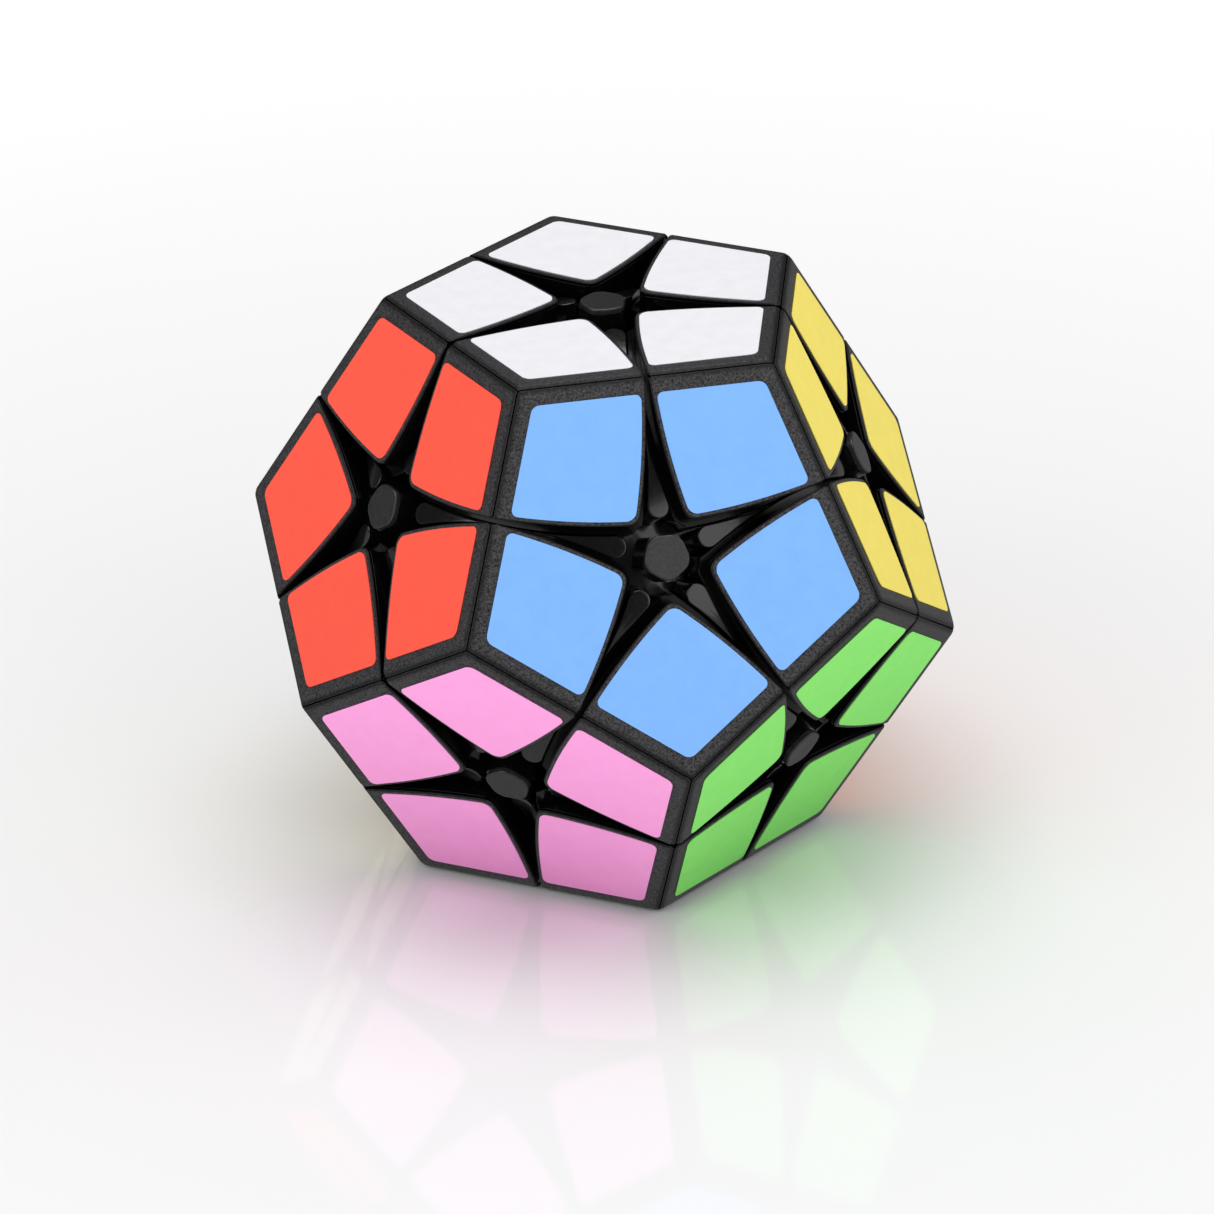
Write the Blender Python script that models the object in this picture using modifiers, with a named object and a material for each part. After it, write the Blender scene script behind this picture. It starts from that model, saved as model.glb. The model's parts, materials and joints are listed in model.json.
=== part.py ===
"""Dodecahedron twisty puzzle, 75 mm across its flats, in metres with +Z up.

The origin is the centre of the puzzle, where its twelve turning axes meet, so each moving
piece has its origin on every axis that it turns about. A boundary between two pieces is
always a cone about one of those axes or a sphere round the centre, which is what lets any
face turn. The spheres make three levels, from the outside in:

  outer level   corner blocks, with the centre stems and the edge pads between them
  middle level  centre discs, edge bodies and the narrow necks of the corners
  inner level   corner feet and edge toes, each held under what is wider above it

One corner, one edge and one centre are modelled, and the rest are turned copies of them.
"""

import itertools
import math

import bmesh
import bpy
from mathutils import Matrix, Vector

PUZZLE = "dodecahedron_twisty_puzzle"

# outside
INRADIUS = 0.0375
EDGE_CHAMFER = 0.0012
GOLDEN_RATIO = (1 + math.sqrt(5)) / 2
FACE_APOTHEM = INRADIUS / GOLDEN_RATIO
AXIS_ANGLE = math.atan(2)

# spheres between the levels
PAD_RADIUS = 0.0360
OUTER_FLOOR = 0.0300
MIDDLE_FLOOR = 0.0240
INNER_FLOOR = 0.0155

# half-angles of the cones about each axis, and the apex height of the corner blocks' cone;
# the outer cones pass through the middles of the five edges that lead away from the face
OUTER_CUT = math.atan2(INRADIUS, FACE_APOTHEM)
PAD_REACH = math.radians(55.7)
BLOCK_APEX = 0.0050
BLOCK_CUT = math.atan2(INRADIUS, FACE_APOTHEM - BLOCK_APEX)
MIDDLE_CUT = math.radians(48)
INNER_CUT = math.radians(54)
CENTRE_REACH = math.radians(30)
CONE_HEIGHT = 0.050

# each piece stands this far back from a shared boundary
CLEARANCE = 0.0002
BLOCK_CLEARANCE = 0.0003

# how far a web or neck runs into the levels above and below the sphere that it crosses
JOIN_ABOVE = 0.0040
JOIN_BELOW = 0.0025

# centre: a five-sided stem under a round-cornered cap of its own width, with a bore and a
# spring pocket round its screw
STEM_RADIUS = 0.0034
STEM_FILLET = 0.0012
STEM_TWIST = math.radians(18)
CAP_BEVEL = 0.0003
BORE_RADIUS = 0.00135
POCKET_RADIUS = 0.00255
POCKET_FLOOR = 0.0252
POCKET_ROOF = 0.0286

# core: a ball with a boss and a screw on each axis
BALL_RADIUS = 0.0090
BOSS_RADIUS = 0.0026
BOSS_TOP = 0.0150
SCREW_RADIUS = 0.0010
SCREW_HEAD_RADIUS = 0.0021
SCREW_HEAD_HEIGHT = 0.0011
SCREW_TOP = 0.0283
ROOT_DEPTH = 0.0020

# facets
BLOCK_SIDES = 30
INNER_SIDES = 20
STEM_SIDES = 5
STEM_FILLET_SEGMENTS = 3
SCREW_SIDES = 8
PAD_SUBDIVISIONS = 3
SUBDIVISIONS = 2
SHARP_ANGLE = math.radians(28)
FLAT_ANGLE = math.radians(0.2)
MERGE = 0.00001

# faces, named by the colour of their stickers; each lower face is opposite an upper one
TOP_FACE = "white"
BOTTOM_FACE = "grey"
UPPER_RING = ("blue", "yellow", "purple", "forest", "red")
LOWER_RING = ("navy", "cream", "pink", "green", "orange")
FIRST_AZIMUTH = math.radians(-90)
RING_ELEVATION = math.pi / 2 - AXIS_ANGLE

# three of the thirty edges are not modelled, to keep the puzzle to sixty pieces
LEFT_OUT_EDGES = (("grey", "navy"), ("grey", "cream"), ("grey", "orange"))

PLASTICS = {
    "corner": ((0.022, 0.022, 0.024), 0.45),
    "edge": ((0.010, 0.010, 0.011), 0.22),
    "centre": ((0.040, 0.037, 0.035), 0.40),
    "core": ((0.120, 0.120, 0.125), 0.50),
}


# --- layout ---------------------------------------------------------------------------


def face_axes():
    """The outward axis of each face, by name."""
    axes = {TOP_FACE: Vector((0, 0, 1)), BOTTOM_FACE: Vector((0, 0, -1))}
    for step, (upper, lower) in enumerate(zip(UPPER_RING, LOWER_RING)):
        azimuth = FIRST_AZIMUTH + math.radians(72) * step
        across = math.cos(RING_ELEVATION)
        axis = Vector(
            (across * math.cos(azimuth), across * math.sin(azimuth), math.sin(RING_ELEVATION))
        )
        axes[upper] = axis
        axes[lower] = -axis
    return axes


AXES = face_axes()


def adjacent(first, second):
    return abs(AXES[first].angle(AXES[second]) - AXIS_ANGLE) < 0.01


def neighbours(face):
    return [other for other in AXES if other != face and adjacent(face, other)]


def ordered(faces):
    """Three faces round a vertex, anticlockwise as seen from outside."""
    first, second, third = faces
    if AXES[first].cross(AXES[second]).dot(AXES[third]) < 0:
        return first, third, second
    return first, second, third


def vertices():
    return [
        ordered(faces)
        for faces in itertools.combinations(AXES, 3)
        if all(adjacent(a, b) for a, b in itertools.combinations(faces, 2))
    ]


def edges():
    """Each edge as its two faces, then the face at its end on their left and the other end's."""
    found = []
    for first, second in itertools.combinations(AXES, 2):
        if adjacent(first, second):
            ends = [face for face in neighbours(first) if face in neighbours(second)]
            ends.sort(key=lambda end: ordered((first, second, end))[1] != second)
            found.append((first, second, *ends))
    return found


def columns(faces):
    return Matrix([AXES[face] for face in faces]).transposed()


def turn_between(from_faces, to_faces):
    """The rotation that carries three faces round a vertex onto three others."""
    turn = columns(ordered(to_faces)) @ columns(ordered(from_faces)).inverted()
    return turn.to_quaternion()


def axis_frame(face):
    """A rotation from +Z to the face's axis, with +X towards one of its neighbours."""
    axis = AXES[face]
    towards = AXES[neighbours(face)[0]]
    across = (towards - axis * towards.dot(axis)).normalized()
    return Matrix((across, axis.cross(across), axis)).transposed().to_4x4()


# --- solids ---------------------------------------------------------------------------


def new_collection(name):
    collection = bpy.data.collections.new(name)
    bpy.context.scene.collection.children.link(collection)
    return collection


def tool(name, shape):
    """A helper solid, hidden from the render, from a bmesh."""
    bmesh.ops.recalc_face_normals(shape, faces=shape.faces)
    mesh = bpy.data.meshes.new(name)
    shape.to_mesh(mesh)
    shape.free()
    helper = bpy.data.objects.new(name, mesh)
    helper.hide_render = True
    helper.display_type = "WIRE"
    bpy.data.collections["cutters"].objects.link(helper)
    return helper


def evaluated_mesh(helper):
    graph = bpy.context.evaluated_depsgraph_get()
    return bpy.data.meshes.new_from_object(helper.evaluated_get(graph))


def discard(helper):
    mesh = helper.data
    bpy.data.objects.remove(helper)
    bpy.data.meshes.remove(mesh)


def combine(base, operation, tools):
    """The base after one Boolean with each tool. The tools are used up.

    Many walls here meet in one point or lie in one plane, where the exact solver leaves open
    edges and the manifold solver doesn't.
    """
    for other in tools:
        modifier = base.modifiers.new(other.name, "BOOLEAN")
        modifier.operation = operation
        modifier.solver = "MANIFOLD"
        modifier.object = other
    mesh = evaluated_mesh(base)
    base.modifiers.clear()
    worn = base.data
    base.data = mesh
    bpy.data.meshes.remove(worn)
    for other in tools:
        discard(other)
    return base


def ball(radius, outside=False, subdivisions=SUBDIVISIONS):
    """A faceted sphere lined up with the axes. With outside set, its flats reach the radius."""
    shape = bmesh.new()
    bmesh.ops.create_icosphere(shape, subdivisions=subdivisions, radius=radius)
    if outside:
        flats = min(abs(face.normal.dot(face.verts[0].co)) for face in shape.faces)
        bmesh.ops.scale(shape, vec=Vector.Fill(3, radius / flats), verts=shape.verts)
    turn = Matrix.Rotation(FIRST_AZIMUTH, 4, "Z")
    bmesh.ops.transform(shape, matrix=turn, verts=shape.verts)
    return tool("ball", shape)


def cone(face, half_angle, grow, apex=0.0, sides=INNER_SIDES):
    """A cone that opens along a face's axis, its wall moved outwards by grow."""
    shape = bmesh.new()
    height = CONE_HEIGHT - apex + grow / math.sin(half_angle)
    radius = height * math.tan(half_angle)
    if grow > 0:
        radius /= math.cos(math.pi / sides)
    bmesh.ops.create_cone(
        shape, cap_ends=True, segments=sides, radius1=0, radius2=radius, depth=height
    )
    lift = Matrix.Translation((0, 0, CONE_HEIGHT - height / 2))
    bmesh.ops.transform(shape, matrix=axis_frame(face) @ lift, verts=shape.verts)
    return tool("cone", shape)


def turned(face, profile, sides):
    """A solid of revolution about a face's axis, from (radius, height) points, top first."""
    mesh = bpy.data.meshes.new("turned")
    points = [(radius, 0, height) for radius, height in profile]
    lines = [(step, step + 1) for step in range(len(points) - 1)]
    mesh.from_pydata(points, lines, [])
    helper = bpy.data.objects.new("turned", mesh)
    helper.hide_render = True
    helper.display_type = "WIRE"
    bpy.data.collections["cutters"].objects.link(helper)
    screw = helper.modifiers.new("turn", "SCREW")
    screw.axis = "Z"
    screw.steps = sides
    screw.render_steps = sides
    screw.use_merge_vertices = True
    screw.merge_threshold = MERGE
    turned_mesh = evaluated_mesh(helper)
    turned_mesh.transform(axis_frame(face))
    discard(helper)
    helper = bpy.data.objects.new("turned", turned_mesh)
    helper.hide_render = True
    helper.display_type = "WIRE"
    bpy.data.collections["cutters"].objects.link(helper)
    return helper


def dodecahedron():
    """The whole outside of the puzzle, with its edges chamfered."""
    shape = bmesh.new()
    for faces in vertices():
        direction = sum((AXES[face] for face in faces), Vector()).normalized()
        shape.verts.new(direction * INRADIUS / direction.dot(AXES[faces[0]]))
    bmesh.ops.convex_hull(shape, input=shape.verts)
    bmesh.ops.dissolve_limit(
        shape, angle_limit=math.radians(5), verts=shape.verts, edges=shape.edges
    )
    bmesh.ops.bevel(
        shape, geom=list(shape.edges), offset=EDGE_CHAMFER, segments=1, affect="EDGES"
    )
    return tool("dodecahedron", shape)


def between(ceiling, floor, inside, inside_cut, outside=(), outside_cut=0):
    """The part of a ball above a floor, inside some faces' cones and outside others'."""
    base = combine(ceiling, "INTERSECT", [cone(face, inside_cut, -CLEARANCE) for face in inside])
    combine(base, "DIFFERENCE", [floor])
    return combine(base, "DIFFERENCE", [cone(face, outside_cut, CLEARANCE) for face in outside])


def under(radius):
    """A coarse ball whose corners stay below a boundary."""
    return ball(radius - CLEARANCE)


def over(radius):
    """A coarse ball whose flats stay above a boundary."""
    return ball(radius + CLEARANCE, outside=True)


# --- pieces ---------------------------------------------------------------------------


def corner_mesh(faces):
    """A corner: its block, a narrow neck and a wide foot."""
    walls = [
        cone(face, BLOCK_CUT, -BLOCK_CLEARANCE, apex=BLOCK_APEX, sides=BLOCK_SIDES)
        for face in faces
    ]
    block = combine(dodecahedron(), "INTERSECT", walls)
    combine(block, "DIFFERENCE", [over(OUTER_FLOOR)])
    neck = between(ball(OUTER_FLOOR + JOIN_ABOVE), ball(MIDDLE_FLOOR - JOIN_BELOW), faces, MIDDLE_CUT)
    foot = between(under(MIDDLE_FLOOR), over(INNER_FLOOR), faces, INNER_CUT)
    return combine(block, "UNION", [neck, foot]).data


def edge_mesh(faces, ends):
    """An edge: two pads, a body with a web under each pad, and toes on a third web."""
    pads = between(
        ball(PAD_RADIUS, subdivisions=PAD_SUBDIVISIONS),
        over(OUTER_FLOOR), faces, PAD_REACH, ends, OUTER_CUT,
    )
    webs = between(
        ball(OUTER_FLOOR + JOIN_ABOVE), ball(OUTER_FLOOR - JOIN_BELOW),
        faces, MIDDLE_CUT, ends, OUTER_CUT,
    )
    body = between(
        under(OUTER_FLOOR), over(MIDDLE_FLOOR), faces, MIDDLE_CUT, ends, MIDDLE_CUT
    )
    toe_web = between(
        ball(MIDDLE_FLOOR + JOIN_ABOVE), ball(MIDDLE_FLOOR - JOIN_BELOW),
        faces, MIDDLE_CUT, ends, INNER_CUT,
    )
    toes = between(
        under(MIDDLE_FLOOR), over(INNER_FLOOR), faces, INNER_CUT, ends, INNER_CUT
    )
    return combine(body, "UNION", [webs, pads, toe_web, toes]).data


def stem(face):
    """The stem and cap: a rounded five-sided post whose corners point at the face's vertices."""
    root = (POCKET_ROOF + OUTER_FLOOR) / 2
    height = INRADIUS - root
    shape = bmesh.new()
    bmesh.ops.create_cone(
        shape,
        cap_ends=True,
        segments=STEM_SIDES,
        radius1=STEM_RADIUS,
        radius2=STEM_RADIUS,
        depth=height,
    )
    corners = [edge for edge in shape.edges if edge.verts[0].co.z * edge.verts[1].co.z < 0]
    bmesh.ops.bevel(
        shape,
        geom=corners,
        offset=STEM_FILLET,
        segments=STEM_FILLET_SEGMENTS,
        profile=0.5,
        affect="EDGES",
    )
    rim = [edge for edge in shape.edges if all(vert.co.z > 0 for vert in edge.verts)]
    bmesh.ops.bevel(shape, geom=rim, offset=CAP_BEVEL, segments=1, affect="EDGES")
    twist = Matrix.Rotation(STEM_TWIST, 4, "Z")
    lift = Matrix.Translation((0, 0, root + height / 2))
    bmesh.ops.transform(shape, matrix=axis_frame(face) @ lift @ twist, verts=shape.verts)
    return tool("stem", shape)


def centre_mesh(face):
    """A centre: a disc on a hollow shaft, with a stem and a cap on top."""
    around = neighbours(face)
    disc = between(
        under(OUTER_FLOOR), over(MIDDLE_FLOOR), (face,), CENTRE_REACH, around, MIDDLE_CUT
    )
    shaft = between(
        ball(MIDDLE_FLOOR + JOIN_ABOVE), over(INNER_FLOOR), (face,), CENTRE_REACH, around, INNER_CUT
    )
    bore = turned(
        face,
        (
            (0, POCKET_ROOF),
            (POCKET_RADIUS, POCKET_ROOF),
            (POCKET_RADIUS, POCKET_FLOOR),
            (BORE_RADIUS, POCKET_FLOOR),
            (BORE_RADIUS, BOSS_TOP),
            (0, BOSS_TOP),
        ),
        SCREW_SIDES,
    )
    combine(disc, "UNION", [shaft, stem(face)])
    return combine(disc, "DIFFERENCE", [bore]).data


def core_mesh():
    """The core: a ball with twelve bosses, each with a screw driven into it."""
    core = ball(BALL_RADIUS)
    arm = (
        (0, SCREW_TOP),
        (SCREW_HEAD_RADIUS, SCREW_TOP),
        (SCREW_HEAD_RADIUS, SCREW_TOP - SCREW_HEAD_HEIGHT),
        (SCREW_RADIUS, SCREW_TOP - SCREW_HEAD_HEIGHT),
        (SCREW_RADIUS, BOSS_TOP),
        (BOSS_RADIUS, BOSS_TOP),
        (BOSS_RADIUS, BALL_RADIUS - ROOT_DEPTH),
        (0, BALL_RADIUS - ROOT_DEPTH),
    )
    return combine(core, "UNION", [turned(face, arm, SCREW_SIDES) for face in AXES]).data


# --- assembly -------------------------------------------------------------------------


def plastic(kind):
    colour, roughness = PLASTICS[kind]
    material = bpy.data.materials.new(f"{kind}_plastic")
    material.use_nodes = True
    shader = material.node_tree.nodes["Principled BSDF"]
    shader.inputs["Base Color"].default_value = (*colour, 1)
    shader.inputs["Roughness"].default_value = roughness
    shader.inputs["Metallic"].default_value = 0
    return material


def without_slivers(mesh):
    """The mesh with the slivers that joined walls leave welded shut and its flats made whole."""
    shape = bmesh.new()
    shape.from_mesh(mesh)
    bmesh.ops.remove_doubles(shape, verts=shape.verts, dist=MERGE)
    bmesh.ops.dissolve_degenerate(shape, edges=shape.edges, dist=MERGE)
    bmesh.ops.dissolve_limit(
        shape, angle_limit=FLAT_ANGLE, verts=shape.verts, edges=shape.edges
    )
    bmesh.ops.triangulate(shape, faces=shape.faces)
    shape.to_mesh(mesh)
    shape.free()


def finished(mesh, kind):
    without_slivers(mesh)
    mesh.name = kind
    mesh.materials.clear()
    mesh.materials.append(plastic(kind))
    mesh.shade_smooth()
    mesh.set_sharp_from_angle(angle=SHARP_ANGLE)
    return mesh


def place(name, mesh, turn):
    piece = bpy.data.objects.new(name, mesh)
    piece.parent = bpy.data.objects["puzzle_centre"]
    piece.rotation_euler = turn.to_euler()
    bpy.data.collections[PUZZLE].objects.link(piece)


def clear_scene():
    for thing in list(bpy.data.objects):
        bpy.data.objects.remove(thing)


def build():
    clear_scene()
    puzzle = new_collection(PUZZLE)
    cutters = new_collection("cutters")
    centre = bpy.data.objects.new("puzzle_centre", None)
    puzzle.objects.link(centre)

    place("core", finished(core_mesh(), "core"), Matrix.Identity(3).to_quaternion())

    mesh = finished(centre_mesh(TOP_FACE), "centre")
    for face in AXES:
        turn = axis_frame(face) @ axis_frame(TOP_FACE).inverted()
        place(f"centre_{face}", mesh, turn.to_quaternion())

    first = edges()[0]
    mesh = finished(edge_mesh(first[:2], first[2:]), "edge")
    for edge in edges():
        if edge[:2] not in LEFT_OUT_EDGES:
            turn = turn_between(first[:3], edge[:3])
            place(f"edge_{edge[0]}_{edge[1]}", mesh, turn)

    first = vertices()[0]
    mesh = finished(corner_mesh(first), "corner")
    for vertex in vertices():
        place("corner_" + "_".join(vertex), mesh, turn_between(first, vertex))

    for helper in list(cutters.objects):
        bpy.data.objects.remove(helper)


build()
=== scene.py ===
"""Looks for the dodecahedron twisty puzzle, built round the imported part.

The outside of the puzzle is a set of closed lofts. Each loft is a stack of rings, and a ring is
the line where an outline (cones about the turning axes, seam planes, a five-sided prism) meets
a level (a sphere, a flat, or the puzzle's rounded outside moved inwards). The ring is found by
walking outwards from a centre direction until the outline is crossed. One corner, one edge and
one centre are built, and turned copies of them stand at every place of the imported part.
"""

import json
import math

import bmesh
import bpy
import numpy as np
from mathutils import Matrix, Quaternion, Vector


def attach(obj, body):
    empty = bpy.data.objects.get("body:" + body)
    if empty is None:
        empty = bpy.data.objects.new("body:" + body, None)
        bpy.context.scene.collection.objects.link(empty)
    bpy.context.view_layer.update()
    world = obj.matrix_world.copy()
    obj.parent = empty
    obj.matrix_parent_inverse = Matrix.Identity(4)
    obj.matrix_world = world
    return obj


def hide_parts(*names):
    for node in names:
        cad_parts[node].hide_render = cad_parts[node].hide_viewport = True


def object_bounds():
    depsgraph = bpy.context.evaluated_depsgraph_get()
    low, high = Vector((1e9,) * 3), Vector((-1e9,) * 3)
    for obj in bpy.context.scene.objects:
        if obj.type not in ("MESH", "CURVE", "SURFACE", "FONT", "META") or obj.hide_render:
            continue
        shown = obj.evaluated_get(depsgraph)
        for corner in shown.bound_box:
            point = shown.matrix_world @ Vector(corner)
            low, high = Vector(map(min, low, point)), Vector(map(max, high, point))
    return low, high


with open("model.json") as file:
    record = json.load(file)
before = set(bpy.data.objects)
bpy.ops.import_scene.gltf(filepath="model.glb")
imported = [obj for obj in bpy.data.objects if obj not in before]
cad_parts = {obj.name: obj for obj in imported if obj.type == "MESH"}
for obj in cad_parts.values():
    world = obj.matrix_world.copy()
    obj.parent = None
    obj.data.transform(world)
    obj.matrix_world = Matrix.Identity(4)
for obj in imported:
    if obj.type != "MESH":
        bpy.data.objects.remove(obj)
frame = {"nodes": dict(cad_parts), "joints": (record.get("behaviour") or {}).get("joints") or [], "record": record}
size_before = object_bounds()

MM = 0.001
FIFTH_TURN = math.radians(72)
RIGHT_ANGLE = math.radians(90)
FACE_ANGLE = math.atan(2)
GOLDEN_RATIO = (1 + math.sqrt(5)) / 2
INRADIUS = (size_before[1].z - size_before[0].z) / 2
APOTHEM = INRADIUS / GOLDEN_RATIO
FLOOR_HEIGHT = size_before[0].z

# outside: edges rounded, each corner capped by three thin shells with seams between them
EDGE_ROUND = 2.0 * MM
SHELL_GAP = 0.25 * MM
SEAM_GAP = 0.09 * MM
SHELL_RIM = 0.25 * MM
SEAM_RIM = 0.07 * MM
SHELL_DEPTH = 0.50 * MM
SHELL_TOP_RINGS = (1.7 * MM, 1.2 * MM, 0.8 * MM, 0.45 * MM)
GAP_CHANGE = 0.3 * MM
BLOCK_TOP = 0.60 * MM
BLOCK_RIM = 0.07 * MM
TIP_ROUND = 1.8 * MM
NOTCH_ROUND = 0.7 * MM
SEAM_ROUND = 0.20 * MM

# stickers
STICKER_THICKNESS = 0.13 * MM
STICKER_RIM = 0.05 * MM
STICKER_LIFT = 0.005 * MM
STICKER_WALL_MARGIN = 0.58 * MM
STICKER_SEAM_MARGIN = 2.4 * MM
STICKER_TIP_ROUND = 1.5 * MM
STICKER_SIDE_ROUND = 0.9 * MM
STICKER_OUTER_ROUND = 1.3 * MM

# cuts between the pieces
OUTER_CUT = math.atan2(INRADIUS, APOTHEM)
BLOCK_APEX = 5.0 * MM
BLOCK_CUT = math.atan2(INRADIUS, APOTHEM - BLOCK_APEX)
PAD_REACH = math.radians(55.6)
MIDDLE_CUT = math.radians(48)
INNER_CUT = math.radians(54)
CENTRE_REACH = math.radians(30)
OUTER_FLOOR = 30.0 * MM
MIDDLE_FLOOR = 24.0 * MM
INNER_FLOOR = 15.5 * MM
CLEARANCE = 0.2 * MM
JOIN = 3.0 * MM

# skirt of each corner block, which shows as a crescent at the kite's tip
SKIRT_TOP = 35.2 * MM
SKIRT_RIM = 0.15 * MM
SKIRT_HOLE = 4.72 * MM

# edge pads
PAD_TOP = 36.15 * MM
PAD_RIM = 0.16 * MM
PAD_ROUND = 1.5 * MM
PAD_GAP = 0.08 * MM
PAD_POINT_ROUND = 0.12 * MM
PAD_POINT_SPREAD = math.radians(150)
PAD_TILT = math.radians(11.5)
PAD_FAN = math.radians(24)
WEB_TILT = math.radians(19)
WEB_FAN = math.radians(20)

# cap and stem of each centre
CAP_APOTHEM = 2.78 * MM
CAP_ROUND = 1.95 * MM
CAP_RIM = 0.22 * MM
CAP_HEIGHT = 0.75 * MM
CAP_GROOVE = 0.20 * MM
GROOVE_TOP = 0.04 * MM
GROOVE_BOTTOM = 0.12 * MM
POST_TOP = 0.16 * MM
POST_INSET = 0.08 * MM
POST_ROUND = 0.9 * MM
BORE_RADIUS = 1.35 * MM
POCKET_RADIUS = 2.55 * MM
POCKET_FLOOR = 25.2 * MM
POCKET_ROOF = 28.6 * MM

ROOM_LIGHT = 0.52
ROOM_REFLECTION = 0.04
FLOOR_FADE = (0.03, 0.25)
FLOOR_BOUNCE = 1.6
FLOOR_REFLECTION = 0.25

# points round each ring, and steps of the searches
SHELL_POINTS = 168
BLOCK_POINTS = 180
HIDDEN_POINTS = 48
WEB_POINTS = 36
PAD_POINTS = 150
CENTRE_POINTS = 160
STICKER_POINTS = 140
TRIAL_POINTS = 2880
BEND_WINDOW = 25
RIM_STEPS = 5
FINE_RIM_STEPS = 3
WALK_STEPS = 20
SEARCH_STEPS = 18
LEVEL_STEPS = 26
LEVEL_SEARCH = (0.8 * INRADIUS, 1.4 * INRADIUS)
FAN_REACH = math.radians(36)
PROBE = 0.001 * MM
NEARLY = 0.999

# shares of the way from a face's centre to one of its vertices
TIP_SHARE = 0.2
KITE_MIDDLE = 0.62

STICKER_COLOURS = {
    row["slot"][len("sticker_"):]: row["base_color"]
    for row in frame["record"]["materials"]
    if row["slot"].startswith("sticker_")
}
AXES = {
    joint["name"][len("turn_"):]: np.array(joint["axis"], float)
    for joint in frame["joints"]
    if joint["name"].startswith("turn_")
}
AXES = {name: axis / np.linalg.norm(axis) for name, axis in AXES.items()}


# --- outlines ------------------------------------------------------------------------
# An outline is a function from points to distances, negative inside.


def cone(face, cut, apex=0.0):
    axis = AXES[face]

    def outline(points):
        along = points @ axis
        across = np.linalg.norm(points - along[:, None] * axis, axis=1)
        return across * math.cos(cut) - (along - apex) * math.sin(cut)

    return outline


def outside(other):
    return lambda points: -other(points)


def cylinder(face, radius):
    axis = AXES[face]

    def outline(points):
        along = points @ axis
        return np.linalg.norm(points - along[:, None] * axis, axis=1) - radius

    return outline


def plane(normal, distance=0.0):
    return lambda points: points @ normal - distance


def moved(other, inset):
    return lambda points: other(points) + inset


def every(*outlines):
    return lambda points: np.maximum.reduce([outline(points) for outline in outlines])


def rounded(first, second, radius, spread):
    """Both outlines, with their corner rounded. The spread is the angle between their normals."""
    lean = math.cos(spread)

    def outline(points):
        a = first(points) + radius
        b = second(points) + radius
        corner = np.sqrt(np.maximum(a * a + b * b - 2 * lean * a * b, 0)) / math.sin(spread)
        return np.where((a >= lean * b) & (b >= lean * a), corner, np.maximum(a, b)) - radius

    return outline


def spread_at(first, second, point):
    """The angle between two outlines' normals near a point."""
    steps = point + np.vstack([np.eye(3), -np.eye(3)]) * PROBE
    normals = []
    for outline in (first, second):
        values = outline(steps)
        normals.append(unit(values[:3] - values[3:]))
    return math.acos(np.clip(normals[0] @ normals[1], -1, 1))


def unit(vector):
    return vector / np.linalg.norm(vector)


# --- levels --------------------------------------------------------------------------
# A level gives, for unit directions, how far out it lies.


def sphere(radius):
    return lambda directions: np.broadcast_to(radius, len(directions)).astype(float)


def flat(face, height):
    return lambda directions: height / (directions @ AXES[face])


def puzzle_outside(faces, depth):
    """The puzzle's outside round one vertex, with rounded edges, moved inwards by a depth."""
    normals = np.array([AXES[face] for face in faces])
    groups = ((0,), (1,), (2,), (0, 1), (0, 2), (1, 2), (0, 1, 2))
    solved = [np.linalg.inv(normals[list(g)] @ normals[list(g)].T) for g in groups]

    def distance(points):
        reach = points @ normals.T - (INRADIUS - EDGE_ROUND)
        best = reach.max(axis=1)
        for group, inverse in zip(groups, solved):
            part = reach[:, list(group)]
            weights = part @ inverse
            found = np.sqrt(np.maximum((part * weights).sum(axis=1), 0))
            best = np.maximum(best, np.where((weights >= 0).all(axis=1), found, best))
        return best - EDGE_ROUND

    def level(directions):
        low = np.full(len(directions), LEVEL_SEARCH[0])
        high = np.full(len(directions), LEVEL_SEARCH[1])
        for _ in range(LEVEL_STEPS):
            middle = (low + high) / 2
            inside = distance(directions * middle[:, None]) < -np.asarray(depth)
            low = np.where(inside, middle, low)
            high = np.where(inside, high, middle)
        return low

    return level


# --- rings and lofts -----------------------------------------------------------------


class Fan:
    """Directions round a centre direction, at fixed bearings, tilted by up to a reach."""

    def __init__(self, centre, towards, bearings, reach=FAN_REACH):
        self.reach = reach
        self.centre = unit(centre)
        across = towards - (towards @ self.centre) * self.centre
        self.first = unit(across)
        self.second = np.cross(self.centre, self.first)
        self.bearings = bearings

    def directions(self, tilt):
        tilt = np.broadcast_to(tilt, self.bearings.shape)
        side = (
            np.cos(self.bearings)[:, None] * self.first
            + np.sin(self.bearings)[:, None] * self.second
        )
        return np.cos(tilt)[:, None] * self.centre + np.sin(tilt)[:, None] * side

    def tilts(self, outline, level, inset=0.0):
        """How far each ray goes before it first leaves the outline."""

        def inside(tilt):
            directions = self.directions(tilt)
            return outline(directions * level(directions)[:, None]) < -np.asarray(inset)

        low = np.zeros(len(self.bearings))
        unbroken = np.full(len(self.bearings), True)
        for tilt in np.linspace(0, self.reach, WALK_STEPS + 1)[1:]:
            unbroken = unbroken & inside(tilt)
            low = np.where(unbroken, tilt, low)
        high = low + self.reach / WALK_STEPS
        for _ in range(SEARCH_STEPS):
            middle = (low + high) / 2
            kept = inside(middle)
            low = np.where(kept, middle, low)
            high = np.where(kept, high, middle)
        return low

    def ring(self, outline, level, inset=0.0, share=1.0):
        directions = self.directions(share * self.tilts(outline, level, inset))
        return directions * level(directions)[:, None]

    def point(self, level):
        return self.centre * level(self.centre[None])[0]


def bearings_round(count):
    return np.linspace(0, 2 * math.pi, count, endpoint=False)


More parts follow.
